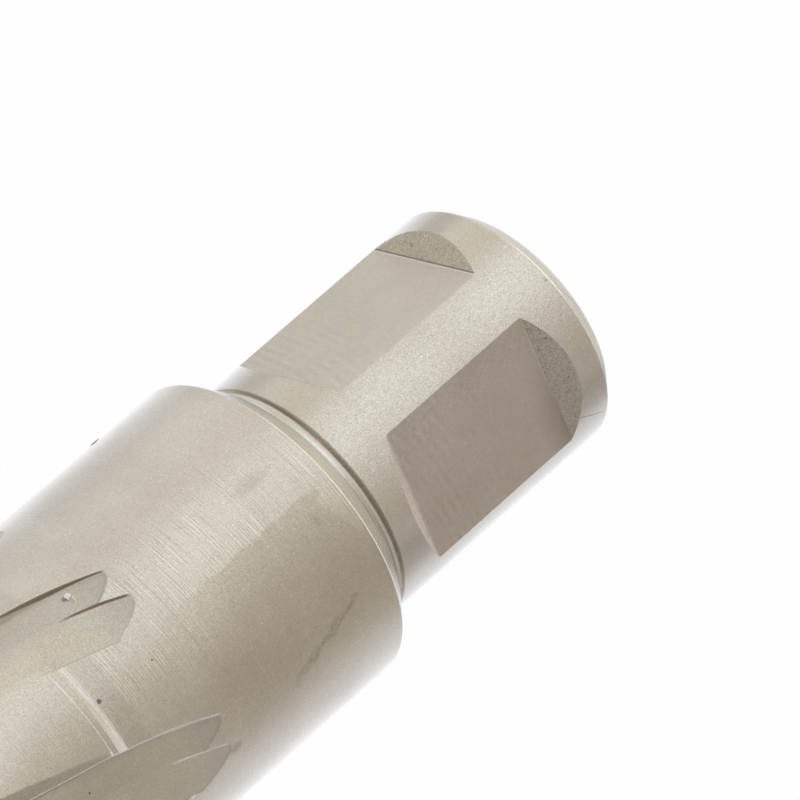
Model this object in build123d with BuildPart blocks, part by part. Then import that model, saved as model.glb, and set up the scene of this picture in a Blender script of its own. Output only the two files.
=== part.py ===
from build123d import *

import os
from math import cos, degrees, radians, sin, sqrt, tan

# Annular cutter with a two-flat shank, helical flutes and six brazed carbide tips.
#
# Millimetres. The cutter stands on the end of its shank: the origin is the centre of the
# shank's end face, +Z runs along the axis towards the teeth, and the two drive flats face
# +X and +Y. It cuts turning the positive way about +Z, seen along +Z as clockwise.

os.makedirs("parts", exist_ok=True)

# Shank
shank_diameter = 19.05
shank_end_chamfer = 1.15
shank_edge_radius = 0.25
pilot_bore_diameter = 8.1
pilot_bore_chamfer = 0.5

# Drive flats
flat_depth = 1.48
flat_start = 4.75
flat_length = 13.3
flat_end_wall_angle = 45.0
flat_corner_radius = 0.3

# Shoulder between shank and collar, with the relief groove at the root of the shank
shoulder_height = 23.05
groove_radius = 0.8
groove_depth = 0.27
shoulder_chamfer = 1.4
shoulder_edge_radius = 0.2

# Cutting diameter, and how far the lands and the collar stay inside it
cutting_diameter = 24.0
land_clearance = 0.225
step_drop = 0.16

# The collar's end: a rounded ramp, a narrow turned band, and the lip where the lands begin
collar_end_height = 47.72
ramp_length = 0.55
ramp_radius = 1.5
band_length = 0.42
band_undercut = 0.07

# Cup
overall_length = 85.0
cutting_depth = 40.0
core_diameter = 16.4
core_floor_gap = 2.0
core_corner_radius = 1.5

# Flutes: where they begin, their helix, and how much steeper or flatter the heel walls run
tooth_count = 6
flute_run_out = 7.22
helix_lead = 264.7
front_angle = 24.9
heel_start_turn = 1.654
heel_bend_turn = 0.81
heel_bend_length = 7.5
heel_turn = 0.772
heel_turn_length = 15.5

# Flutes: the two milled passes and their depth
floor_slope = 0.06
deepest_floor = 1.9
pass_angle = 11.8
pass_turn = 0.294
pass_wall_angle = 0.8
merge_start = 4.7
merge_end = 8.4
floor_merging = 0.96
front_edge_depth = 0.01
front_edge_length = 15.5
front_deepening = 0.1
wall_slope = 35.0

# Flutes: the blunted edge, and the relief along the heel of each land
blunt_width = 0.13
blunt_tilt = 33.0
blunt_growth = 2.0
blunt_least = 0.15
wall_least = 0.01
relief_start = 7.4
relief_run_in = 0.96
relief_first_drop = 0.33
relief_fall = 0.034
relief_drop = 0.55
relief_edge_angle = 1.9
relief_edge_turn = 0.294
relief_widest = 4.7

# Carbide tips
tip_thickness = 2.4
tip_height = 6.0
tip_inner_clearance = 0.45
tip_peak_inset = 1.6
tip_outer_slope = 15.0
tip_inner_slope = 12.0
tip_relief = 10.0
tip_side_relief = 0.16
tip_inner_relief = 0.15

# Gullets between the teeth
gullet_depth = 7.0
gullet_width = 4.4
gullet_floor_width = 1.5
gullet_radius = 0.7
gullet_slope = 50.0
heel_relief = 12.0
heel_drop = 1.2
heel_share = 0.65

# How far cutters reach past the surfaces that they cut
overcut = 1.0
flute_overcut = 2.0
flute_step = 5.0
run_out_sections = 10
relief_sections = (0.33, 0.67, 1.0, 1.33, 2.0, 3.0, 4.7)

# Sizes this close count as equal
near = 0.01

shank_radius = shank_diameter / 2
cutting_radius = cutting_diameter / 2
land_radius = cutting_radius - land_clearance
collar_radius = land_radius + step_drop
core_radius = core_diameter / 2
tip_core_radius = core_radius - tip_inner_clearance
tip_peak_radius = cutting_radius - tip_peak_inset
pitch = 360 / tooth_count
helix_rate = 360 / helix_lead
seat_height = overall_length - tip_height
flute_tip_height = collar_end_height - flute_run_out
core_floor = overall_length - cutting_depth - core_floor_gap


def polar(radius, angle):
    return (radius * cos(radians(angle)), radius * sin(radians(angle)))


def arc_angle(length):
    """Angle about the axis of an arc of this length on the collar."""
    return degrees(length / collar_radius)


def wall_shift(depth):
    """Angle between the top of a sloping flute wall and its foot, this much deeper."""
    return arc_angle(depth * tan(radians(wall_slope)))


def chord_radius(angle, start, end):
    """Radius at this angle of a straight line between two points given as (radius, angle)."""
    across = start[0] * end[0] * sin(radians(start[1] - end[1]))
    from_start = start[0] * sin(radians(start[1] - angle))
    return across / (from_start + end[0] * sin(radians(angle - end[1])))


def front_wall_angle(height):
    """Angle of the wall that each tooth's cutting face stands on."""
    return (height - flute_tip_height) * helix_rate - front_angle


def heel_wall_angle(distance):
    """Angle of the opposite wall's upper edge, which swings round over the run-out."""
    bend = min(distance, heel_bend_length)
    slow = min(max(distance - heel_bend_length, 0), heel_turn_length - heel_bend_length)
    steady = max(distance - heel_turn_length, 0)
    swing = heel_start_turn - (heel_start_turn - heel_bend_turn) * bend / heel_bend_length / 2
    return (bend * swing + slow * heel_turn + steady) * helix_rate


def floor_radius(distance, angle, normal):
    """Radius of a flat milled floor that faces the normal's angle, this far from the tip."""
    floor_depth = min(distance * floor_slope, deepest_floor)
    return (collar_radius - floor_depth) / cos(radians(angle - normal))


def front_edge_radius(distance, front):
    """Radius of the floor at the front wall: shallow at first, then deep enough for the teeth."""
    if distance < merge_end:
        second_floor = floor_radius(distance, front, distance * pass_turn * helix_rate - pass_angle)
        return max(second_floor, collar_radius - front_edge_depth)
    deepening = max(distance - front_edge_length, 0) * front_deepening
    return collar_radius - min(front_edge_depth + deepening, deepest_floor)


def relief_corner(distance, heel):
    """Where the relief along the heel of a land begins, as (radius, angle)."""
    above_wall = (collar_radius + step_drop, heel + wall_shift(step_drop))
    run_in = min(max((distance - relief_start) / relief_run_in, 0), 1)
    beyond = max(distance - relief_start - relief_run_in, 0)
    width = min(relief_edge_angle + beyond * relief_edge_turn * helix_rate, relief_widest)
    return (
        above_wall[0] + (land_radius - above_wall[0]) * run_in,
        above_wall[1] + (heel + width - above_wall[1]) * run_in,
    )


def heel_edge_drop(distance):
    """How far the relief lowers the heel wall's upper edge below the collar."""
    run_in = (distance - relief_start) / relief_run_in * relief_first_drop
    settled = relief_first_drop + (distance - relief_start - relief_run_in) * relief_fall
    return max(min(run_in, settled, relief_drop), 0)


def flute_outline(height):
    """Corners of the flute's section at one height, from the heel of one land to the next front."""
    distance = height - flute_tip_height
    front, heel = front_wall_angle(height), heel_wall_angle(distance)
    relief = relief_corner(distance, heel)
    depth = min(distance * floor_slope, deepest_floor)

    # The heel wall: its edge, the blunted strip below the edge, and its foot
    edge = (collar_radius - heel_edge_drop(distance) + max(-depth, 0), heel)
    width = blunt_width * min(max(distance / blunt_growth, blunt_least), 1)
    blunt_radius = edge[0] - width * sin(radians(blunt_tilt))
    blunt = (blunt_radius, heel - arc_angle(width * cos(radians(blunt_tilt))))
    wall_height = max(blunt_radius - collar_radius + depth, wall_least)
    foot = (blunt_radius - wall_height, blunt[1] - wall_shift(wall_height))

    # The two milled floors, which run together into one flat floor further up
    front_edge = (front_edge_radius(distance, front), front)
    first_normal = distance * pass_turn * helix_rate
    top_angle = heel - pass_angle
    first_end = floor_radius(distance, top_angle, first_normal)
    low_angle = top_angle - pass_wall_angle
    second_start = min(floor_radius(distance, low_angle, first_normal - pass_angle), first_end)
    merged = min(max((distance - merge_start) / (merge_end - merge_start), 0), floor_merging)
    first_end += (chord_radius(top_angle, foot, front_edge) - first_end) * merged
    second_start += (chord_radius(low_angle, foot, front_edge) - second_start) * merged

    outer_radius = collar_radius + flute_overcut
    return [
        polar(outer_radius, relief[1] + wall_shift(outer_radius - relief[0])),
        polar(*relief),
        polar(*edge),
        polar(*blunt),
        polar(*foot),
        polar(first_end, top_angle),
        polar(second_start, low_angle),
        polar(*front_edge),
        polar(outer_radius, front),
    ]


# One flute as a cutter, lofted through sections that are close together in the run-out
relief_height = flute_tip_height + relief_start
run_out_step = relief_start / run_out_sections
run_out_heights = [flute_tip_height + run_out_step * step for step in range(-1, run_out_sections + 1)]
relief_heights = [relief_height + relief_run_in * share for share in relief_sections]
body_sections = int((overall_length - relief_heights[-1]) / flute_step) + 2
body_heights = [relief_heights[-1] + flute_step * step for step in range(1, body_sections + 1)]
with BuildPart() as flute_cutter:
    for section_height in run_out_heights + relief_heights + body_heights:
        with BuildSketch(Plane.XY.offset(section_height)):
            with BuildLine():
                Polyline(flute_outline(section_height), close=True)
            make_face()
    loft()

# Ends of the teeth: seat, gullet and heel of one tooth, cut through the wall of the cup
mouth_height = overall_length + overcut
heel_height = overall_length - heel_drop
heel_end = cutting_radius * sin(radians(pitch * heel_share))
gullet_floor = overall_length - gullet_depth
gullet_top = gullet_floor + gullet_width * tan(radians(gullet_slope))
with BuildPart() as tooth_end_cutter:
    with BuildSketch(Plane.YZ.offset(core_radius - flute_overcut)):
        with BuildLine():
            Polyline(
                (-heel_end, mouth_height),
                (-heel_end, heel_height - (heel_end - tip_thickness) * tan(radians(heel_relief))),
                (-tip_thickness, heel_height),
                (-tip_thickness, seat_height),
                (0, seat_height),
                (0, gullet_floor),
                (gullet_floor_width, gullet_floor),
                (gullet_width, gullet_top),
                (gullet_width, mouth_height),
                close=True,
            )
        make_face()
    extrude(amount=collar_radius - core_radius + 2 * flute_overcut)
    gullet_edges = tooth_end_cutter.edges().filter_by(Axis.X).group_by(Axis.Z)[0]
    fillet(gullet_edges, radius=gullet_radius)

# The steel body
groove_centre = (shank_radius - groove_depth + groove_radius, shoulder_height - groove_radius)
groove_start = groove_centre[1] - sqrt(groove_radius**2 - (groove_radius - groove_depth) ** 2)
ramp_end = collar_end_height + ramp_length
band_end = ramp_end + band_length
with BuildPart() as body:
    with BuildSketch(Plane.XZ) as turned_profile:
        with BuildLine():
            Polyline(
                (0, 0),
                (shank_radius - shank_end_chamfer, 0),
                (shank_radius, shank_end_chamfer),
                (shank_radius, groove_start),
            )
            ThreePointArc(
                (shank_radius, groove_start),
                (groove_centre[0] - groove_radius, groove_centre[1]),
                (groove_centre[0], shoulder_height),
            )
            Polyline(
                (groove_centre[0], shoulder_height),
                (collar_radius - shoulder_chamfer, shoulder_height),
                (collar_radius, shoulder_height + shoulder_chamfer),
                (collar_radius, collar_end_height),
                (land_radius - band_undercut, ramp_end),
                (land_radius - band_undercut, band_end),
                (land_radius, band_end + band_undercut),
                (land_radius, overall_length),
                (0, overall_length),
                (0, 0),
            )
        make_face()
        collar_corners = turned_profile.vertices().group_by(Axis.X)[-1].sort_by(Axis.Y)
        fillet(collar_corners[0], radius=shoulder_edge_radius)
        fillet(collar_corners[1], radius=ramp_radius)
        shank_corner = turned_profile.vertices().group_by(Axis.Y)[1]
        fillet(shank_corner, radius=shank_edge_radius)
    revolve(axis=Axis.Z)

    with BuildSketch(Plane.XY.offset(overall_length)):
        Circle(core_radius)
    extrude(amount=core_floor - overall_length, mode=Mode.SUBTRACT)
    core_rims = body.edges().filter_by(lambda rim: rim.geom_type == GeomType.CIRCLE
                                       and abs(rim.radius - core_radius) < near)
    fillet(core_rims.sort_by(Axis.Z)[0], radius=core_corner_radius)
    Hole(radius=pilot_bore_diameter / 2)
    bore_rims = body.edges().filter_by(lambda rim: rim.geom_type == GeomType.CIRCLE
                                       and abs(rim.radius - pilot_bore_diameter / 2) < near)
    chamfer(bore_rims, length=pilot_bore_chamfer)

    # Two flats, milled with sloping end walls
    flat_floor = shank_radius - flat_depth
    flat_mouth = shank_radius + overcut
    wall_run = (flat_mouth - flat_floor) / tan(radians(flat_end_wall_angle))
    for side in (Plane.XZ, Plane.YZ):
        with BuildSketch(side) as flat_profile:
            with BuildLine():
                Polyline(
                    (flat_floor, flat_start),
                    (flat_floor, flat_start + flat_length),
                    (flat_mouth, flat_start + flat_length + wall_run),
                    (flat_mouth, flat_start - wall_run),
                    close=True,
                )
            make_face()
            fillet(flat_profile.vertices().group_by(Axis.X)[0], radius=flat_corner_radius)
        extrude(amount=shank_radius, both=True, mode=Mode.SUBTRACT)

    with PolarLocations(0, tooth_count):
        add(flute_cutter.part, mode=Mode.SUBTRACT)
    with PolarLocations(0, tooth_count, start_angle=front_wall_angle(seat_height)):
        add(tooth_end_cutter.part, mode=Mode.SUBTRACT)
body.part.label = "body"
export_step(body.part, "parts/body.step")

# The carbide tips, one behind each cutting wall, brazed into the seats
inner_corner = tip_core_radius - overcut
inner_corner_height = overall_length - (tip_peak_radius - inner_corner) * tan(radians(tip_inner_slope))
outer_corner = cutting_radius + overcut
outer_corner_height = overall_length - (outer_corner - tip_peak_radius) * tan(radians(tip_outer_slope))
for number in range(1, tooth_count + 1):
    leading_angle = front_wall_angle(seat_height) + pitch * (number - 1)
    outwards = polar(1, leading_angle)
    backwards = Vector(*polar(1, leading_angle - 90))
    with BuildPart() as tip:
        with BuildSketch(Plane(origin=(0, 0, seat_height), x_dir=outwards, z_dir=(0, 0, 1))):
            with BuildLine():
                Polyline(
                    (tip_core_radius, 0),
                    (cutting_radius, 0),
                    (cutting_radius - tip_side_relief * tip_thickness, -tip_thickness),
                    (tip_core_radius - tip_inner_relief, -tip_thickness),
                    close=True,
                )
            make_face()
        extrude(amount=tip_height)
        with BuildSketch(Plane(origin=(0, 0, 0), x_dir=outwards, z_dir=backwards)):
            with BuildLine():
                Polyline(
                    (inner_corner, inner_corner_height),
                    (tip_peak_radius, overall_length),
                    (outer_corner, outer_corner_height),
                    (outer_corner, mouth_height),
                    (inner_corner, mouth_height),
                    close=True,
                )
            make_face()
        relief_direction = backwards - Vector(0, 0, tan(radians(tip_relief)))
        extrude(amount=tip_thickness + overcut, dir=relief_direction, mode=Mode.SUBTRACT)
    tip.part.label = f"tip_{number}"
    export_step(tip.part, f"parts/tip_{number}.step")
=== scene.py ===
# %% [markdown]
# # An annular cutter in satin coated steel
# The cutter is one turned and milled steel body with six carbide tips brazed into its mouth.
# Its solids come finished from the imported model, so this lesson is mostly about surfaces and
# light: a blasted shank, a turned collar, milled flutes, ground carbide, and a white studio.
# Everything is in metres, and the cutter stands on the end of its shank with its teeth up.

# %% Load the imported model
import math
import bpy
from mathutils import Matrix, Vector


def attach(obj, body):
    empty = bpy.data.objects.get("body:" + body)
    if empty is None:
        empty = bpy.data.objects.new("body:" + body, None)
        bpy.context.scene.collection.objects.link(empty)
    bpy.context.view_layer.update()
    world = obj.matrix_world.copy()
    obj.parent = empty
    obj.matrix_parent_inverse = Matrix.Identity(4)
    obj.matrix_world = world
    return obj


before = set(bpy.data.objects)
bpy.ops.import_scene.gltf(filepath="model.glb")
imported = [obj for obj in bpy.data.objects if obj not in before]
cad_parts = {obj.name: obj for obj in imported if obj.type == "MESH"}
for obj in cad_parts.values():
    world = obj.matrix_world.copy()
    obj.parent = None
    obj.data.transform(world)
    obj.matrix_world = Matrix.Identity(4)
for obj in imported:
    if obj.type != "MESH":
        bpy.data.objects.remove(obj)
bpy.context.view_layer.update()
mm = 0.001
print("nodes:", sorted(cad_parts))

# %% [markdown]
# ## Camera
# The photograph looks down at the cutter through a long lens, with the shank towards the upper
# right. The direction is given as on a globe: a bearing round the cutter, a height above the
# horizon, and a roll of the camera about its own view. A long lens from far off keeps the
# cutter's two sides almost parallel, as they are in the photograph. These values came from
# fitting the outlines of the shank and the collar, so there is nothing to tune here by eye.

# %% Turn a bearing and a height into a direction
def direction(bearing, height):
    """Unit vector of a bearing round the Z axis and a height above the horizon, in degrees."""
    turn, rise = math.radians(bearing), math.radians(height)
    level = math.cos(rise)
    return Vector((level * math.cos(turn), level * math.sin(turn), math.sin(rise)))


def place_facing(thing, target, offset, roll=0.0):
    """Put a lamp or camera at an offset from its target, looking back at the target."""
    facing = offset.to_track_quat("Z", "Y").to_matrix().to_4x4()
    turned = facing @ Matrix.Rotation(math.radians(roll), 4, "Z")
    thing.matrix_world = Matrix.Translation(target + offset) @ turned
    bpy.context.scene.collection.objects.link(thing)


view_bearing = 34.312
view_height = 27.790
print("view direction:", tuple(round(part, 3) for part in direction(view_bearing, view_height)))

# %% Place the camera
focal_length, sensor_width = 415.02, 36.0
camera_distance, camera_roll = 0.615546, -131.248
aim_point = Vector((-0.000449, 0.000657, 0.010543))
camera_data = bpy.data.cameras.new("studio_camera")
camera_data.lens = focal_length
camera_data.sensor_width = sensor_width
camera_data.clip_end = 10.0
camera = bpy.data.objects.new("studio_camera", camera_data)
place_facing(camera, aim_point, direction(view_bearing, view_height) * camera_distance, camera_roll)
bpy.context.scene.camera = camera
print("camera at", tuple(round(value, 4) for value in camera.matrix_world.translation))

# %% [markdown]
# ## Node sums as plain arithmetic
# A material's pattern is arithmetic on each point of the surface. Wired by hand it is dozens of
# Math nodes, so a small class wraps one socket and lets Python's own operators add those nodes.
# The bench holds one material's tree and has a single method for every other kind of node. It
# sets a node's options first, because an option such as a Mix node's data type changes which
# sockets there are, and it finds sockets by their identifier, which is never ambiguous.

# %% One wrapped socket, with operators
class Signal:
    """One output in a material, usable in sums."""

    def __init__(self, bench, socket):
        self.bench = bench
        self.socket = socket

    def math(self, operation, *others):
        names = ("Value", "Value_001", "Value_002")
        values = dict(zip(names, (self, *others)))
        return self.bench.node("ShaderNodeMath", {"operation": operation}, values)

    def __add__(self, other):
        return self.math("ADD", other)

    def __sub__(self, other):
        return self.math("SUBTRACT", other)

    def __mul__(self, other):
        return self.math("MULTIPLY", other)

    def __truediv__(self, other):
        return self.math("DIVIDE", other)

    def __rsub__(self, other):
        return self.math("MULTIPLY", -1).math("ADD", other)

    __radd__ = __add__
    __rmul__ = __mul__


print("a signal turns + - * / into Math nodes")

# %% The bench: one material, and one method for any node
class Bench:
    """A material under construction."""

    def __init__(self, name, new=bpy.data.materials.new):
        self.owner = new(name)
        self.owner.use_nodes = True
        self.tree = self.owner.node_tree
        self.tree.nodes.clear()

    def node(self, kind, settings=None, values=None, output=None):
        """Add a node: settings first, then each socket's value or link. Returns one output."""
        node = self.tree.nodes.new(kind)
        for name, setting in (settings or {}).items():
            if name == "stops":
                for _ in range(len(setting) - len(node.color_ramp.elements)):
                    node.color_ramp.elements.new(1.0)
                for element, (position, shade) in zip(node.color_ramp.elements, setting):
                    element.position = position
                    element.color = (shade, shade, shade, 1)
            elif name == "interpolation":
                node.color_ramp.interpolation = setting
            else:
                setattr(node, name, setting)
        sockets = {socket.identifier: socket for socket in node.inputs}
        for name, value in (values or {}).items():
            if isinstance(value, Signal):
                self.tree.links.new(value.socket, sockets[name])
            else:
                sockets[name].default_value = value
        if not node.outputs:
            return None
        if output:
            outputs = {socket.identifier: socket for socket in node.outputs}
            return Signal(self, outputs[output])
        return Signal(self, next(socket for socket in node.outputs if socket.enabled))

    def ramp(self, signal, low, high, start=0.0, end=1.0):
        """Smooth step: start below low, end above high."""
        settings = {"interpolation_type": "SMOOTHSTEP"}
        values = {"Value": signal, "From Min": low, "From Max": high, "To Min": start, "To Max": end}
        return self.node("ShaderNodeMapRange", settings, values)

    def mix(self, share, first, second):
        """Blend two colours."""
        values = {"Factor_Float": share, "A_Color": first, "B_Color": second}
        return self.node("ShaderNodeMix", {"data_type": "RGBA"}, values, "Result_Color")

    def multiply(self, first, second):
        """Two colours multiplied with each other."""
        settings = {"data_type": "RGBA", "blend_type": "MULTIPLY"}
        values = {"Factor_Float": 1.0, "A_Color": first, "B_Color": second}
        return self.node("ShaderNodeMix", settings, values, "Result_Color")

    def scale(self, vector, factor):
        """A colour or another vector times a number, which may vary."""
        values = {"Vector": vector, "Scale": factor}
        return self.node("ShaderNodeVectorMath", {"operation": "SCALE"}, values, "Vector")

    def finish(self, shader, output="ShaderNodeOutputMaterial"):
        """Connect the shader to the output and hand back the material or world."""
        self.node(output, {}, {"Surface": shader})
        print(self.owner.name, "has", len(self.tree.nodes), "nodes")
        return self.owner


print("a bench makes any node, and has short names for ramps and for mixed colours")

# %% [markdown]
# ## Studio
# Metal has hardly any look of its own: a satin cylinder shows a blurred strip of the room for
# each angle of its surface. The picture was taken on white paper, so both outlines of the cutter
# mirror paper and fade to white. A window to one side gives the broad stripe along the upper
# left, and the unlit side of the room gives the dark one. So the world is a ring of brightness
# round the cutter at the height that its sides mirror, with white paper below and a dim ceiling
# above. The stops of the ring are bearings: walking round the cutter, what does it see?

# %% The room as a ring of brightness
room_ring = [
    (-180, 1.75), (-142, 1.48), (-110, 1.05), (-78, 0.74), (-58, 0.38), (-38, 0.31), (-14, 0.34),
    (8, 0.45), (32, 0.68), (54, 1.46), (80, 0.76), (106, 0.57), (130, 1.22), (150, 0.38), (166, 0.80),
]
room = Bench("studio", bpy.data.worlds.new)
toward = room.node("ShaderNodeTexCoord", {}, {}, "Generated")
east, north, up = (room.node("ShaderNodeSeparateXYZ", {}, {"Vector": toward}, axis) for axis in "XYZ")
bearing_share = north.math("ARCTAN2", east) / (2 * math.pi) + 0.5
ring_stops = [((bearing + 180) / 360, shade) for bearing, shade in room_ring]
ring_stops.append((1.0, ring_stops[0][1]))
ring = room.node(
    "ShaderNodeValToRGB", {"interpolation": "B_SPLINE", "stops": ring_stops}, {"Fac": bearing_share})
print("ring of", len(ring_stops), "stops")

# %% The ring's tint: warm where the room is unlit, cool at the window and above the paper
warm_side = (1.06, 0.97, 0.90, 1)
window_side = (0.95, 1.01, 1.08, 1)
no_tint = (1, 1, 1, 1)
paper_side = (0.97, 1.0, 1.10, 1)
unlit, well_lit = 0.3, 1.1
ring = room.multiply(ring, room.mix(room.ramp(ring, unlit, well_lit), warm_side, window_side))
behind = direction(view_bearing + 180, 12)
facing_back = east * behind.x + north * behind.y + up * behind.z
ring = room.multiply(ring, room.mix(room.ramp(facing_back, -0.1, 0.6), no_tint, paper_side))
print("the far side of the room lies towards", tuple(round(part, 2) for part in behind))

# %% Paper below, a band of window light, a dim ceiling, and bright paper behind
paper_below = (1.1, 1.1, 1.1, 1)
window_band = (1.05, 1.06, 1.06, 1)
dim_ceiling = (0.175, 0.16, 0.145, 1)
paper_behind = (1.75, 1.80, 1.95, 1)
sky = room.mix(room.ramp(up, -0.85, -0.60, 1, 0), ring, paper_below)
sky = room.mix(room.ramp(up, -0.10, 0.15), sky, window_band)
sky = room.mix(room.ramp(up, 0.38, 0.58), sky, dim_ceiling)
sky = room.mix(room.ramp(facing_back, 0.55, 0.85), sky, paper_behind)
background = room.node("ShaderNodeBackground", {}, {"Color": sky, "Strength": 1.0})
bpy.context.scene.world = room.finish(background, "ShaderNodeOutputWorld")

# %% A soft lamp for the glints and the floor's shadow
lamp_bearing, lamp_height, lamp_distance = 70, 52, 0.5
lamp_target = Vector((0, 0, 0.03))
lamp_data = bpy.data.lights.new("window", "AREA")
lamp_data.shape = "DISK"
lamp_data.size = 0.22
lamp_data.energy = 0.3
lamp = bpy.data.objects.new("window", lamp_data)
place_facing(lamp, lamp_target, direction(lamp_bearing, lamp_height) * lamp_distance)
print("window at", tuple(round(value, 3) for value in lamp.matrix_world.translation))

# %% [markdown]
# ## Where a point is on the cutter
# Object coordinates are metres on the cutter itself, so noise that reads them stays put on the
# metal. Stretching them before they reach a noise texture gives the marks of a tool: noise that is
# short along Z and long around the axis is a turned surface.

# %% Noise sized in millimetres
class PatternBench(Bench):
    """A material whose noises are sized in millimetres on the cutter."""

    def __init__(self, name):
        super().__init__(name)
        self.point = self.node("ShaderNodeTexCoord", {}, {}, "Object")

    def noise(self, per_mm, detail=2.0, roughness=0.5, move=(0, 0, 0)):
        """Noise with so many features a millimetre, one number or one for each axis."""
        if isinstance(per_mm, (int, float)):
            per_mm = (per_mm,) * 3
        scale = tuple(part / mm for part in per_mm)
        stretch = {"Location": move, "Scale": scale, "Vector": self.point}
        place = self.node("ShaderNodeMapping", {}, stretch)
        values = {"Vector": place, "Scale": 1.0, "Detail": detail, "Roughness": roughness}
        return self.node("ShaderNodeTexNoise", {}, values, "Fac")


print("a pattern bench sizes noise in millimetres")

# %% [markdown]
# Every zone of the body was made by a different tool, and each zone is a range of height and
# radius. The height is Z, the radius is the distance from the axis, and the bearing is the angle
# round it. A soft step at each end of a range makes a mask: 1 in the zone and 0 outside it.

# %% Heights, radii and bearings
class SteelBench(PatternBench):
    """A material that also knows where each point is on the cutter."""

    def __init__(self, name):
        super().__init__(name)
        split = ("ShaderNodeSeparateXYZ", {}, {"Vector": self.point})
        metres = [self.node(*split, axis) for axis in "XYZ"]
        self.x, self.y, self.height = (part / mm for part in metres)
        self.radius = (self.x * self.x + self.y * self.y).math("SQRT")
        self.bearing = self.y.math("ARCTAN2", self.x) * math.degrees(1)

    def fall(self, signal, low, high):
        """1 below the first value, falling to 0 at the second."""
        return self.ramp(signal, low, high, 1, 0)

    def between(self, signal, low, high, soft):
        """1 between two values, with soft ends."""
        rise = self.ramp(signal, low - soft, low + soft)
        return rise * self.fall(signal, high - soft, high + soft)

    def band(self, low, high, soft):
        """1 in a range of heights, in millimetres."""
        return self.between(self.height, low, high, soft)

    def sector(self, low, high, soft):
        """1 in a range of bearings round the axis, in degrees."""
        return self.between(self.bearing, low, high, soft)


print("a steel bench knows the height, radius and bearing of each point")

# %% [markdown]
# ## Coated steel
# The body has a thin, pale, warm coating that looks like satin nickel. Under it each zone keeps
# the marks of its tool. The shank is bead blasted, a fine even speckle. The collar and the lands
# are turned, so fine rings run round them. The flutes are milled, a little darker and duller.
# The colour is one warm metal, and a thin clear coat gives the highlights their neutral tone.
# Below, every height is in millimetres from the shank's end and every bearing is in degrees.

# %% Zones of the body
groove_top, rim_top = 23.0, 24.45
collar_end, lands_start = 47.7, 48.2
steel = SteelBench("coated_steel")
shank_zone = steel.fall(steel.height, 21.7, 21.9)
turned_zone = steel.ramp(steel.height, 22.95, 23.1)
rim_zone = steel.band(groove_top, rim_top, 0.05)
smooth_turned = (steel.band(21.75, groove_top, 0.08) + rim_zone).math("MINIMUM", 1.0)
lands_zone = steel.ramp(steel.height, collar_end, lands_start)
hollow = steel.fall(steel.radius, 8.25, 8.4) * steel.ramp(steel.height, 24.0, 24.5)
end_chamfer = steel.fall(steel.height, 1.02, 1.10)
print("zones: shank and groove to", groove_top, "mm, collar to", collar_end, "mm, lands above")

# %% The two flats and their sloping end walls
flat_distance = 8.045
outermost = steel.x.math("MAXIMUM", steel.y)
milled_away = steel.fall(steel.radius, 9.50, 9.51) * shank_zone
level = steel.between(outermost, flat_distance - 0.035, flat_distance + 0.035, 0.01)
flats = level * steel.band(4.74, 18.06, 0.03)
end_walls = steel.ramp(outermost, 8.07, 8.09) * milled_away * steel.band(3.2, 19.6, 0.03)
wall_line = steel.between(outermost, 8.06, 8.15, 0.015) * end_walls
wall_foot = steel.between(outermost, 8.05, 8.10, 0.003) * milled_away
print("flats", flat_distance, "mm from the axis")

# %% [markdown]
# ### Following the flutes
# The flutes repeat every 60 degrees and climb along a helix, so a mask that follows one of them
# follows all six: take away the helix's own bearing at each height, then wrap what is left into
# one sixth of a turn. The heel wall swings round over the run-out, as it does in the solid, so
# its bearing is worked out in three parts: a bend, a slower stretch, and the steady helix.

# %% Bearings measured from the flutes' two walls
flute_tip = 40.5
bend_length, slow_length = 7.5, 8.0
bend_rate, bend_loss, slow_rate = 1.654, 0.844, 0.772
helix_lead, front_start = 264.7, -24.9
helix_rate = 360 / helix_lead
climb = steel.height - flute_tip
bend = climb.math("MAXIMUM", 0.0).math("MINIMUM", bend_length)
slow = (climb - bend_length).math("MAXIMUM", 0.0).math("MINIMUM", slow_length)
steady = (climb - (bend_length + slow_length)).math("MAXIMUM", 0.0)
heel_turns = bend * (bend_rate - bend * bend_loss / (2 * bend_length)) + slow * slow_rate + steady
past_heel = (steel.bearing - heel_turns * helix_rate).math("WRAP", 30.0, -30.0)
past_front = (steel.bearing - (climb * helix_rate + front_start)).math("WRAP", 40.0, -20.0)
in_flute = steel.ramp(climb, 0.0, 0.3)
print("helix of", round(helix_rate, 3), "degrees a millimetre")

# %% [markdown]
# Each flute is milled in two passes side by side, and each pass leaves a flat floor that sinks
# slowly below the collar. Where that floor is deeper than nothing, the surface is milled.

# %% The floors of the two passes
collar_radius = 11.935
second_turn = 11.8
floor_lean, floor_sink, deepest = 0.4, 0.06, 1.9


def milled_depth(turned):
    """How deep a flat milled floor, turned back by so many degrees, lies under the collar."""
    across = (steel.bearing - climb * floor_lean + turned).math("WRAP", 30.0, -30.0)
    sink = (climb * floor_sink).math("MINIMUM", deepest)
    return ((across * math.radians(1)).math("COSINE") - 1) * collar_radius + sink


first_depth, second_depth = milled_depth(0.0), milled_depth(second_turn)
first_width = steel.between(past_heel, -second_turn, -0.3, 0.1)
second_width = steel.between(past_heel, -29.0, -second_turn, 0.1)
first_floor = steel.ramp(first_depth, -0.003, 0.005) * first_width
second_floor = steel.ramp(second_depth, -0.003, 0.005) * second_width
open_side = steel.ramp(past_front, -0.2, 0.1) * in_flute * (1 - hollow)
fluted = (first_floor + second_floor) * open_side
plain = (1 - fluted) * (1 - hollow)
ringed = turned_zone * plain * (1 - rim_zone)
print("second pass", second_turn, "degrees behind the first")

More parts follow.
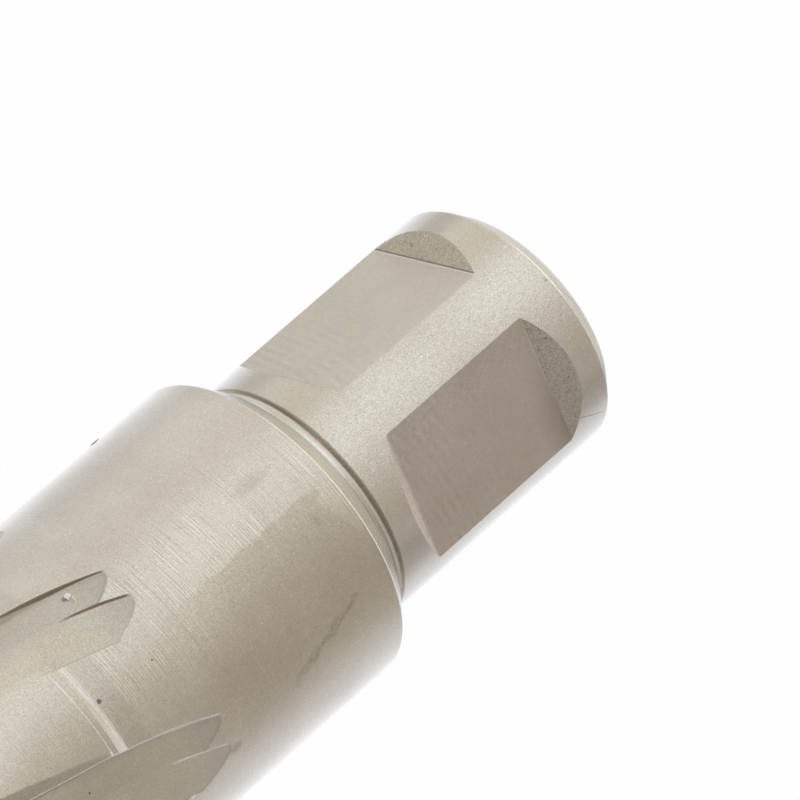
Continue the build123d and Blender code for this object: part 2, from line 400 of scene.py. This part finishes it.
# %% Flute marks: painted shade at the floors' shallow ends, dull walls, and painted highlights on the heel edges
# Painted shade: a darker line where each pass's floor runs out to the collar.
first_end_shade = steel.between(first_depth, 0.0, 0.02, 0.006) * first_floor
second_end_shade = steel.between(second_depth, -0.002, 0.014, 0.006) * second_width
run_out_end_shade = (first_end_shade + second_end_shade) * in_flute
first_foot = ((climb - 3.6).math("ABSOLUTE") * 0.17 - 1.2).math("MINIMUM", -0.4)
# A dull layer on the heel walls and on the second pass's walls; below, its colour is painted shade on
# the shaded side of the cutter and painted light on the lit side.
heel_dust_and_shading = steel.ramp(past_heel - first_foot, -0.35, 0.1) * steel.fall(past_heel, -0.25, 0.05)
second_wall = steel.between(past_heel, -12.65, -11.75, 0.12)
second_wall = second_wall * steel.ramp(climb, 0.1, 0.5) * steel.fall(climb, 3.6, 5.2)
dust_and_wall_shading = (heel_dust_and_shading * in_flute + second_wall).math("MINIMUM", 1.0) * (1 - hollow)
front_line = steel.between(past_front, -0.15, 0.2, 0.1) * steel.between(climb, 2.8, 7.6, 0.4)
# A painted highlight along the heel edge.
heel_highlight = steel.fall((past_heel - 0.15).math("ABSOLUTE"), 0.1, 0.35) * in_flute
wall_shadow = steel.ramp(past_heel, -4.0, -0.8) * steel.fall(past_heel, -0.8, -0.4) * in_flute
print("marks along the flutes' walls made")

# %% [markdown]
# ### Patterns of the tools
# Bead blasting leaves a speckle of about a tenth of a millimetre, with a few brighter sparkles.
# A turning tool leaves rings. A real tool shakes, so the rings here are a sine wave of the height
# that a slow noise pushes about, and patches of another noise rub them out in places.

# %% Speckle, rings and clouds
rings_per_mm, ring_shake = 5.0, 20.0
blast = steel.noise(10.5, roughness=0.7)
blast_coarse = steel.noise(3.0, move=(3, 1, 7))
sparkle = steel.ramp(steel.noise(6.0, detail=1.0, move=(2, 8, 5)), 0.66, 0.76)
wander = steel.noise((0.12, 0.12, 2.4), roughness=0.6, move=(3, 6, 2))
ring_turns = steel.height * (rings_per_mm * 2 * math.pi) + wander * ring_shake
rings = ring_turns.math("SINE") * 0.5 + 0.5
ring_patches = steel.noise((0.45, 0.45, 0.9), move=(6, 1, 8))
ring_patches = steel.ramp(ring_patches, 0.38, 0.66, 0.12, 1.0)
ring_bands = steel.noise((0.05, 0.05, 1.4), move=(5, 2, 1))
cloud = steel.noise(0.13, detail=3.0, roughness=0.55, move=(1, 9, 4))
print("rings", round(1 / rings_per_mm, 2), "mm apart")

# %% [markdown]
# ### Stains
# The collar has a few dull patches where the coating took a drop of something. The smallest is an
# ellipse on the unrolled surface, given by its height, bearing and half sizes. The wide one has
# one edge along the cutter and one across it; it is duller and hides the rings, and its darkness is
# painted shade where the window's highlight ends. The low one is a thin run. A noise breaks up
# every outline. A stain darkens the metal a little and hides the turned rings.

# %% Stains on the collar, the wide one partly painted shade
blotch = steel.noise(0.9, detail=3.0, roughness=0.6, move=(7, 3, 2))
uneven = blotch - 0.5


def patch(height, bearing, half_height, half_width, edge):
    """1 inside a blotchy patch of the surface; sizes in millimetres and degrees."""
    along = (steel.height - height) / half_height
    around = (steel.bearing - bearing) / half_width
    outline = (along * along + around * around).math("SQRT") + uneven * 1.1
    return steel.fall(outline, 1 - edge, 1 + edge)


stain_small = patch(28.9, 49.9, 1.5, 2.6, 0.6)
# The wide one covers bearings below about 35 degrees: painted shade where the highlight ends.
wide_side = steel.fall(steel.bearing + uneven * 5.0, 34.6, 36.0)
arched = (steel.bearing - 30.0).math("ABSOLUTE") * 0.12
wide_top = steel.ramp(steel.height + uneven * 1.5 + arched, 26.0, 26.9)
wide_fade = steel.fall(steel.height, 32.0, 44.0) * steel.ramp(steel.bearing, -30.0, 10.0)
wide_stain_and_shade = wide_side * wide_top * wide_fade
run = steel.bearing + (steel.height - 28.0) * 1.45 + uneven * 7.0
stain_low = steel.between(run, -3.1, -0.6, 0.9) * steel.band(27.8, 33.8, 0.9)
stains_and_shade = (stain_small * 0.62 + wide_stain_and_shade * 0.8 + stain_low * 0.9).math("MINIMUM", 1.0) * ringed
broken = steel.ramp(steel.noise(2.4, detail=3.0, roughness=0.7, move=(8, 2, 6)), 0.36, 0.60)
low_streak = stain_low * ringed * broken
print("three stains between 25 and 34 mm up")

# %% Milling marks and pits
# Curved marks on the flats come from a milling cutter's end: arcs about a point beside the flat.
arc_centre, arc_rate, arc_shake = 30.0, 9.0, 5.0
arc_x, arc_z = (steel.x + steel.y) * 0.6, steel.height - arc_centre
arc_radius = (arc_x * arc_x + arc_z * arc_z).math("SQRT")
arcs = (arc_radius * arc_rate + blotch * arc_shake).math("SINE")
milled = arcs * steel.ramp(blotch, 0.42, 0.62) * flats * steel.ramp(steel.height, 9.0, 16.0)
pits = steel.ramp(steel.noise(2.6, detail=3.0, roughness=0.7, move=(4, 6, 1)), 0.60, 0.72) * end_walls
print("milling marks on the flats, pits in their end walls")

# %% [markdown]
# ### Tones round the cutter
# One ring of light can't give the shank, the flats and the collar each their own shadow, so a few
# soft tones are laid on by bearing. They all fade out before the back of the cutter, where the
# bearing jumps from 180 to -180 and a tone that didn't fade would leave a seam.

# %% Soft tones by bearing
back_fade = steel.fall(steel.bearing, 130.0, 170.0)
lit_stripe = steel.sector(20.0, 58.0, 9.0)
window_edge = steel.ramp(steel.bearing, 48.0, 68.0) * back_fade
shank_edge = window_edge * steel.fall(steel.bearing, 96.0, 108.0)
rim_lit = steel.ramp(steel.bearing, -15.0, 42.0) * steel.fall(steel.bearing, 52.0, 76.0)
shaded_wall_side = steel.ramp(steel.bearing, 20.0, 40.0) * back_fade
shank_wall = shank_zone * (1 - flats - end_walls)
right_strip = steel.sector(-25.0, -8.0, 6.0) * shank_wall
left_strip = steel.sector(84.0, 96.0, 4.0) * shank_wall
chamfer_light = steel.ramp(steel.bearing, 0.0, 40.0, 0.0, 0.18) * back_fade
groove_light = steel.ramp(steel.bearing, -5.0, 45.0, 0.0, 0.36) * back_fade
print("tones fade out between bearings of 130 and 170 degrees")

# %% [markdown]
# ### Colours of the coating
# Each zone has its own tone of the same warm metal, blended in by the zone's mask, and the shank,
# the flats and the rim get a darker copy on their shaded side: painted shade. Clouds and the stain
# masks pull the colour towards a darker tone; the wide one is painted shade where the highlight
# ends. Thin things come on top: painted shade in the groove, a dull layer at the feet of the
# flutes' walls painted brown on the shaded side and pale on the lit side, and painted highlights
# along edges.

# %% The coating, zone by zone
pale_coating = (0.76, 0.695, 0.575, 1)
blasted_coating = (0.775, 0.72, 0.61, 1)
# The warm copies are painted shade for the side of the shank and the flats past the window.
shaded_side_coating = (0.715, 0.65, 0.52, 1)
milled_coating = (0.775, 0.70, 0.60, 1)
shaded_side_milled = (0.72, 0.645, 0.515, 1)
chamfer_coating = (0.75, 0.70, 0.545, 1)
rim_coating = (0.68, 0.665, 0.60, 1)
rim_shaded = (0.41, 0.37, 0.275, 1)
dark_coating = (0.61, 0.545, 0.43, 1)
shank_colour = steel.mix(shank_edge, blasted_coating, shaded_side_coating)
shank_colour = steel.mix(end_chamfer, shank_colour, chamfer_coating)
flat_colour = steel.mix(window_edge, milled_coating, shaded_side_milled)
colour = steel.mix(shank_zone, pale_coating, shank_colour)
colour = steel.mix((flats + end_walls).math("MINIMUM", 1.0), colour, flat_colour)
# Clouds and the stain masks darken the coating, the wide one as painted shade.
colour = steel.mix(steel.ramp(cloud * 0.9 + stains_and_shade * 0.45, 0.25, 1.0), colour, dark_coating)
colour = steel.mix(rim_zone, colour, steel.mix(rim_lit, rim_shaded, rim_coating))
print("shades of the shank, its flats, the collar and the rim blended")

# %% Painted shade in the groove, the walls' painted tones, and painted highlights on edges
# The groove's darker band is painted shade in its hollow.
groove_shade_tone = (0.36, 0.30, 0.22, 1)
# The flutes' walls are painted brown on the shaded side of the cutter and pale on the lit side:
# painted shade and painted light.
shaded_wall_brown = (0.26, 0.185, 0.115, 1)
lit_wall_pale = (0.88, 0.84, 0.78, 1)
highlight_tint = (0.96, 0.94, 0.89, 1)
groove_shade = steel.band(21.52, 21.83, 0.06)
# Painted highlights: a band in the groove, the rim's edge, mostly on its lit side, the step's two
# edges, the lit part of the line on the shank's end chamfer, and the rim at the shank's end.
groove_highlight = steel.band(22.03, 22.27, 0.06)
rim_edge_highlight = steel.band(24.42, 24.49, 0.02) * steel.ramp(steel.bearing, 54.0, 68.0, 0.55, 0.1)
step_highlights = steel.band(47.66, 47.94, 0.10) * 0.5 + steel.band(48.66, 48.80, 0.03) * 0.9
end_line = steel.band(1.09, 1.19, 0.03)
end_line_lit = steel.sector(27.0, 58.0, 6.0)
end_edge = steel.ramp(steel.height, 0.02, 0.06) * steel.fall(steel.height, 0.15, 0.30)
edge_highlights = groove_highlight * 0.45 + rim_edge_highlight + step_highlights * (1 - fluted)
edge_highlights = edge_highlights + end_line * end_line_lit * 0.7 + end_edge * 0.8
colour = steel.mix(groove_shade * 0.9, colour, groove_shade_tone)
colour = steel.mix(dust_and_wall_shading * 0.9, colour, steel.mix(shaded_wall_side, lit_wall_pale, shaded_wall_brown))
colour = steel.mix(edge_highlights.math("MINIMUM", 1.0), colour, highlight_tint)
print("soot, dust and polish laid on")

# %% [markdown]
# ### Marks
# Every other mark only makes the metal darker or lighter. So the marks are lists of a mask and an
# amount, one list for each part of the cutter, and the shade is 1 less their sum. An amount below
# zero makes the metal lighter. An amount may itself change from place to place.

# %% Marks in the flutes
flute_start = steel.ramp(climb, 0.5, 4.0, 0.08, 0.0)
open_floor = fluted * steel.fall(past_heel, -22.0, -8.0) * steel.ramp(climb, 2.0, 9.0)
flute_marks = [
    (fluted, 0.10 + flute_start),
    (first_floor * open_side, 0.04),
    # Painted light on the floors of the flutes on the window's side.
    (open_floor * steel.ramp(steel.bearing, 25.0, 50.0) * back_fade, -0.12),
    (wall_shadow, 0.06),
    # Painted shade at the floors' shallow ends.
    (run_out_end_shade, 0.08),
    (front_line, 0.2),
    # A painted highlight along the heel edges.
    (heel_highlight, -0.05),
]
print(len(flute_marks), "marks in the flutes")

# %% Marks on the shank, its flats and the groove
flat_shadow = flats * steel.fall(steel.height, 4.8, 7.2) * steel.fall(steel.y, -4.0, 2.0)
hairline_bearing = steel.bearing + 22.9 + (3.97 - steel.height) * 3.83
hairline = steel.between(hairline_bearing, -0.3, 0.3, 0.2) * steel.band(1.5, 4.0, 0.05)
shank_dent = patch(1.44, 36.8, 0.12, 0.7, 0.4)
shank_marks = [
    # Painted shade on the shank's end chamfer, less on its lit side.
    (end_chamfer, 0.42 - chamfer_light),
    # Painted shade on the line along the chamfer, except where it is lit.
    (end_line * (1 - end_line_lit), 0.22),
    (shank_dent, 0.3),
    (hairline, 0.4),
    # Painted shade in two strips along the shank.
    (right_strip, 0.24),
    (left_strip, 0.12),
    (flat_shadow, 0.26),
    (end_walls, 0.12),
    (pits, 0.42),
    # Painted shade in the corners where the flats meet their end walls, its strength set by bearing.
    (wall_line, steel.ramp(steel.bearing, 30.0, 50.0, 0.12, 0.45)),
    (wall_foot, steel.ramp(steel.bearing, 30.0, 50.0, 0.35, 0.0)),
    # Painted shade inside the groove, less on its lit side, and a darker painted line higher in it.
    (steel.band(21.83, 22.11, 0.05), 0.5 - groove_light),
    (steel.band(22.31, 22.60, 0.05), 0.26),
]
print(len(shank_marks), "marks on the shank")

# %% Marks on the collar and the lands, and the shade that all marks give
relieved = steel.fall(steel.radius, 11.68, 11.76) * lands_zone * plain
chip_shadow = patch(43.85, 61.6, 0.22, 1.0, 0.3)
flute_spot = patch(40.32, -15.4, 0.5, 1.6, 0.5)
stain_spot = patch(27.2, 27.3, 0.35, 1.8, 0.6)
collar_marks = [
    (chip_shadow, 0.35),
    (flute_spot, 0.25),
    (stain_spot, 0.12),
    (low_streak, 0.20),
    # Painted shade on the relief bevel behind the lands' edges.
    (relieved, 0.14),
    (steel.band(45.8, 47.6, 0.4) * plain, 0.09),
    # A painted highlight on the band where the collar steps down to the lands.
    (steel.band(47.9, 48.6, 0.1) * plain, -0.12),
]
shade = 1 - sum(mask * amount for mask, amount in flute_marks + shank_marks + collar_marks)
print(len(collar_marks), "marks on the collar and lands")

# %% Speckle and rings in the colour
free_of_stains_and_shade = 1 - stains_and_shade * 0.8
grain = (blast - 0.5) * (0.8 - smooth_turned * 0.5 - flats * 0.45) + (blast_coarse - 0.5) * 0.15
# The grain and the rings get more contrast in the lit stripe: a painted highlight.
grain = grain * (0.85 + lit_stripe * (0.35 + shank_zone * 0.4) + end_walls * 0.9)
ring_marks = (rings - 0.5) * ring_patches * 0.30 + (ring_bands - 0.5) * 0.08
ring_marks = ring_marks * ringed * free_of_stains_and_shade * (1 - lands_zone * 0.7) * (0.22 + lit_stripe * 0.9)
speckle = 1 + grain + ring_marks + sparkle * 0.18 + milled * 0.05
colour = steel.scale(colour, speckle * shade)
print("colour of the steel done")

# %% Roughness, relief and shader of the steel
rough = 0.43 + (blast_coarse - 0.5) * 0.10 - smooth_turned * 0.16 - lands_zone * 0.03 - flats * 0.04
rough = rough + stains_and_shade * 0.05 + fluted * 0.16 + end_walls * 0.15 + dust_and_wall_shading * 0.2
ring_relief = rings * ring_patches * ringed * free_of_stains_and_shade
relief = blast * (1 - smooth_turned * 0.8 - flats * 0.5) + ring_relief * 0.35 + milled * 0.15
bump = steel.node("ShaderNodeBump", {}, {"Strength": 0.22, "Distance": 0.05 * mm, "Height": relief})
coated_steel = steel.finish(steel.node("ShaderNodeBsdfPrincipled", {}, {
    "Base Color": colour,
    "Metallic": 1 - dust_and_wall_shading * 0.8,
    "Roughness": rough,
    "Normal": bump,
    "Coat Weight": 0.45 - dust_and_wall_shading * 0.4,
    "Coat Roughness": 0.30,
}))

# %% [markdown]
# ## Carbide
# The tips are cemented carbide, ground on every face that cuts. It is a darker, colder grey than
# the steel, with very fine grinding lines, and it is glossier.

# %% Ground carbide
carbide_bench = PatternBench("ground_carbide")
grinding = carbide_bench.noise((0.4, 0.4, 9.0))
carbide_grain = carbide_bench.noise(12.0)
carbide_tone = 0.5 + (grinding - 0.5) * 0.5 + (carbide_grain - 0.5) * 0.3
dark_carbide, light_carbide = (0.30, 0.30, 0.31, 1), (0.42, 0.42, 0.43, 1)
carbide_colour = carbide_bench.mix(carbide_tone, dark_carbide, light_carbide)
carbide_bump = carbide_bench.node(
    "ShaderNodeBump", {}, {"Strength": 0.08, "Distance": 0.02 * mm, "Height": grinding})
ground_carbide = carbide_bench.finish(carbide_bench.node("ShaderNodeBsdfPrincipled", {}, {
    "Base Color": carbide_colour,
    "Metallic": 1.0,
    "Roughness": 0.24 + (carbide_grain - 0.5) * 0.12,
    "Normal": carbide_bump,
}))

# %% [markdown]
# ## Dress the solids
# The solids keep their meshes. Each gets its finish in its own material slot.

# %% Give each node its finish
for name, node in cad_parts.items():
    node.data.materials.clear()
    node.data.materials.append(coated_steel if name == "body" else ground_carbide)
print("dressed", len(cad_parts), "nodes")

# %% [markdown]
# ## Small pieces that follow a rule
# Braze runs out in a thin bead wherever a tip meets its seat, the same six times round the mouth.
# A few crumbs of metal and dirt lie on the collar, the lands and the flutes, and one burr hangs
# at the edge of a flat. Both are rules, so both are made by Geometry Nodes. The same bench wires
# these trees: the only new parts are the inputs, which get names here, and the end, where Realize
# Instances and Set Material turn the result into one ordinary mesh. A modifier's input is set by
# its identifier, before anything is evaluated.

# %% A bench for shapes
class ShapeBench(Bench):
    """A tree that makes a mesh from named sizes."""

    def __init__(self, name, sizes):
        self.owner = self.tree = bpy.data.node_groups.new(name, "GeometryNodeTree")
        for title, kind in sizes.items():
            self.tree.interface.new_socket(title, in_out="INPUT", socket_type="NodeSocket" + kind)
        self.tree.interface.new_socket("Shape", in_out="OUTPUT", socket_type="NodeSocketGeometry")
        self.sizes = {socket.name: socket for socket in self.tree.nodes.new("NodeGroupInput").outputs}

    def size(self, title):
        """One of the named sizes, ready for sums."""
        return Signal(self, self.sizes[title])

    def close(self, shape):
        """End the tree: real geometry in one given material."""
        shape = self.node("GeometryNodeRealizeInstances", {}, {"Geometry": shape})
        values = {"Geometry": shape, "Material": self.size("Material")}
        shape = self.node("GeometryNodeSetMaterial", {}, values)
        self.tree.links.new(shape.socket, self.tree.nodes.new("NodeGroupOutput").inputs["Shape"])
        print(self.tree.name, "has", len(self.tree.nodes), "nodes")

    def make(self, name, slot, **sizes):
        """Run the tree once and keep its result as a plain mesh that rides on the cutter."""
        worker = bpy.data.objects.new(name + "_worker", bpy.data.meshes.new(name + "_worker"))
        bpy.context.scene.collection.objects.link(worker)
        modifier = worker.modifiers.new("shape", "NODES")
        modifier.node_group = self.tree
        for socket in self.tree.interface.items_tree:
            if socket.in_out == "INPUT":
                modifier[socket.identifier] = sizes[socket.name.lower()]
        evaluated = worker.evaluated_get(bpy.context.evaluated_depsgraph_get())
        mesh = bpy.data.meshes.new_from_object(evaluated)
        worker.modifiers.remove(modifier)
        bpy.data.objects.remove(worker)
        piece = bpy.data.objects.new(name, mesh)
        bpy.context.scene.collection.objects.link(piece)
        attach(piece, "root")
        print(name, "has", len(mesh.polygons), "faces")


# %% [markdown]
# ### Braze beads
# Each bead follows the seat's corner: along the bottom of the tip from its cutting face backwards,
# then up its back. One bead is two straight runs swept with a small circle, and six copies are
# set round the axis by an index times sixty degrees.

# %% Braze beads round the mouth
bead_tree = ShapeBench("braze_beads", {
    "Front": "Vector", "Corner": "Vector", "Top": "Vector",
    "Radius": "Float", "Count": "Int", "Material": "Material"})
runs = bead_tree.tree.nodes.new("GeometryNodeJoinGeometry")
for first, last in (("Front", "Corner"), ("Corner", "Top")):
    run_values = {"Start": bead_tree.size(first), "End": bead_tree.size(last)}
    line = bead_tree.node("GeometryNodeCurvePrimitiveLine", {}, run_values)
    bead_tree.tree.links.new(line.socket, runs.inputs[0])
outline = bead_tree.node(
    "GeometryNodeCurvePrimitiveCircle", {}, {"Resolution": 10, "Radius": bead_tree.size("Radius")})
bead = bead_tree.node("GeometryNodeCurveToMesh", {}, {
    "Curve": Signal(bead_tree, runs.outputs[0]), "Profile Curve": outline, "Fill Caps": True})
spots = bead_tree.node("GeometryNodePoints", {}, {"Count": bead_tree.size("Count")})
turn = bead_tree.node("GeometryNodeInputIndex") * (2 * math.pi) / bead_tree.size("Count")
turns = bead_tree.node("ShaderNodeCombineXYZ", {}, {"Z": turn})
bead_tree.close(bead_tree.node("GeometryNodeInstanceOnPoints", {}, {
    "Points": spots, "Instance": bead, "Rotation": turns}))

# %% [markdown]
# Braze is a soft silver alloy: paler and smoother than the coating, and a little mottled.

# %% Braze metal
braze_bench = PatternBench("braze_alloy")
mottle = braze_bench.noise(4.0, detail=3.0)
dull_braze, bright_braze = (0.62, 0.57, 0.44, 1), (0.80, 0.76, 0.66, 1)
braze_alloy = braze_bench.finish(braze_bench.node("ShaderNodeBsdfPrincipled", {}, {
    "Base Color": braze_bench.mix(mottle, dull_braze, bright_braze),
    "Metallic": 1.0,
    "Roughness": 0.30 + (mottle - 0.5) * 0.2,
}))

# %% Lay the beads in the six seats
seat_turn = math.radians(27.46)
seat_floor = 79
tip_front, tip_back = 0.05, 2.4
bead_radius, tip_count = 0.11 * mm, 6


def on_seat(outward, backward, height):
    """A point given outward, backward along the tip, and up, in millimetres."""
    x = outward * math.cos(seat_turn) + backward * math.sin(seat_turn)
    y = outward * math.sin(seat_turn) - backward * math.cos(seat_turn)
    return [x * mm, y * mm, height * mm]


seat_edges = [("braze_outside", 11.72, 11.47, 83.4), ("braze_inside", 8.23, 7.88, 83.3)]
for name, front_radius, back_radius, top in seat_edges:
    bead_tree.make(
        name, "coated_steel", front=on_seat(front_radius, tip_front, seat_floor),
        corner=on_seat(back_radius, tip_back, seat_floor), top=on_seat(back_radius, tip_back, top),
        radius=bead_radius, count=tip_count, material=braze_alloy)

# %% [markdown]
# ### Crumbs
# A crumb is a small ball, pushed in and out by noise, squashed to a size, and laid on the round
# surface at a height and a bearing. The seed moves the noise, so that no two crumbs are alike.

# %% One crumb
crumb_tree = ShapeBench("crumb", {
    "Place": "Vector", "Turn": "Vector", "Size": "Vector", "Seed": "Int", "Material": "Material"})
seed_step, lump_scale, lump_height = 3.7, 2.6, 0.9
ball = crumb_tree.node("GeometryNodeMeshIcoSphere", {}, {"Radius": 0.5, "Subdivisions": 4})
shift = crumb_tree.node("ShaderNodeCombineXYZ", {}, {"X": crumb_tree.size("Seed") * seed_step})
spot = crumb_tree.node("ShaderNodeVectorMath", {"operation": "ADD"}, {
    "Vector": crumb_tree.node("GeometryNodeInputPosition"), "Vector_001": shift}, "Vector")
lump_noise = {"Vector": spot, "Scale": lump_scale, "Detail": 2.0}
lump = crumb_tree.node("ShaderNodeTexNoise", {}, lump_noise, "Fac")
normal = crumb_tree.node("GeometryNodeInputNormal", {}, {}, "Normal")
push = crumb_tree.scale(normal, (lump - 0.5) * lump_height)
rough_ball = crumb_tree.node("GeometryNodeSetPosition", {}, {"Geometry": ball, "Offset": push})
crumb_tree.close(crumb_tree.node("GeometryNodeTransform", {}, {
    "Geometry": rough_ball, "Translation": crumb_tree.size("Place"),
    "Rotation": crumb_tree.size("Turn"), "Scale": crumb_tree.size("Size")}))

# %% Metals and dirt of the crumbs
def crumb_finish(name, per_mm, dark, light, metallic, roughness):
    """A mottled material between two colours."""
    bench = PatternBench(name)
    tone = bench.noise(per_mm)
    return bench.finish(bench.node("ShaderNodeBsdfPrincipled", {}, {
        "Base Color": bench.mix(tone, dark, light),
        "Metallic": metallic,
        "Roughness": roughness + tone * 0.1,
    }))


dull_chip, shiny_chip = (0.80, 0.78, 0.74, 1), (0.95, 0.94, 0.92, 1)
dark_brown, light_brown = (0.20, 0.11, 0.05, 1), (0.42, 0.27, 0.15, 1)
black, dark_grey = (0.03, 0.025, 0.02, 1), (0.10, 0.085, 0.07, 1)
bright_chip = crumb_finish("bright_chip", 9.0, dull_chip, shiny_chip, 0.6, 0.22)
brown_dirt = crumb_finish("brown_dirt", 7.0, dark_brown, light_brown, 0.0, 0.7)
black_dirt = crumb_finish("black_dirt", 7.0, black, dark_grey, 0.0, 0.7)
print("three kinds of crumb")

# %% Lay the crumbs
# Each row gives the name, height, bearing, radius, size, lean, seed and finish.
crumbs = [
    ("chip_body", 43.56, 61.5, 11.80, (0.18, 0.40, 0.46), 0.3, 1, bright_chip),
    ("chip_tail", 43.40, 59.6, 11.77, (0.08, 0.50, 0.11), -0.2, 2, bright_chip),
    ("brown_speck", 47.43, 29.5, 11.94, (0.05, 0.30, 0.26), 0.1, 3, brown_dirt),
    ("black_speck_a", 42.68, 28.3, 11.935, (0.04, 0.12, 0.12), 0.0, 4, black_dirt),
    ("black_speck_b", 51.59, 9.2, 11.775, (0.04, 0.12, 0.12), 0.0, 5, black_dirt),
    ("black_speck_c", 45.13, 6.2, 11.92, (0.03, 0.07, 0.07), 0.0, 6, black_dirt),
    ("edge_burr", 13.69, -32.8, 9.52, (0.05, 0.10, 0.42), 0.3, 7, bright_chip),
    ("collar_burr", 30.15, 120.0, 11.97, (0.05, 0.06, 0.80), 0.05, 8, brown_dirt),
    ("flute_glint", 44.60, -19.5, 11.90, (0.08, 0.22, 0.60), -0.3, 9, bright_chip),
]
for name, height, bearing, radius, size, lean, seed, metal in crumbs:
    around = math.radians(bearing)
    place = (radius * math.cos(around), radius * math.sin(around), height)
    crumb_tree.make(
        name, "coated_steel", place=[part * mm for part in place], turn=[lean, 0.0, around],
        size=[part * mm for part in size], seed=seed, material=metal)

# %% [markdown]
# ## Floor
# The floor is a large pale sheet. The camera sees it as clean white paper, nearly all of it a
# steady glow, with a small share of the sheet itself and of the cutter's shadow on it. Light that
# bounces sees the sheet alone. Mirror reflections don't see the sheet: the metal mirrors the
# room's own paper below instead, which has no shadow in it, so the steel stays clean.

# %% A pale floor that the camera sees as white
reach = 2.0
glow_share = 0.985
corners = [(-reach, -reach, 0), (reach, -reach, 0), (reach, reach, 0), (-reach, reach, 0)]
floor_mesh = bpy.data.meshes.new("paper")
floor_mesh.from_pydata(corners, [], [(0, 1, 2, 3)])
floor = bpy.data.objects.new("paper", floor_mesh)
bpy.context.scene.collection.objects.link(floor)
paper = Bench("white_paper")
camera_ray = paper.node("ShaderNodeLightPath", {}, {}, "Is Camera Ray")
paper_sheet = paper.node(
    "ShaderNodeBsdfPrincipled", {}, {"Base Color": (0.92, 0.92, 0.92, 1), "Roughness": 0.9})
paper_glow = paper.node("ShaderNodeEmission", {}, {"Strength": 1.0})
floor_mesh.materials.append(paper.finish(paper.node("ShaderNodeMixShader", {}, {
    "Fac": camera_ray * glow_share, "Shader": paper_sheet, "Shader_001": paper_glow})))
floor.visible_glossy = False
print("floor", reach * 2, "m wide")

# %% [markdown]
# ## Finish
# The colours are shown as written.

# %% Show the colours as written
bpy.context.scene.view_settings.view_transform = "Standard"
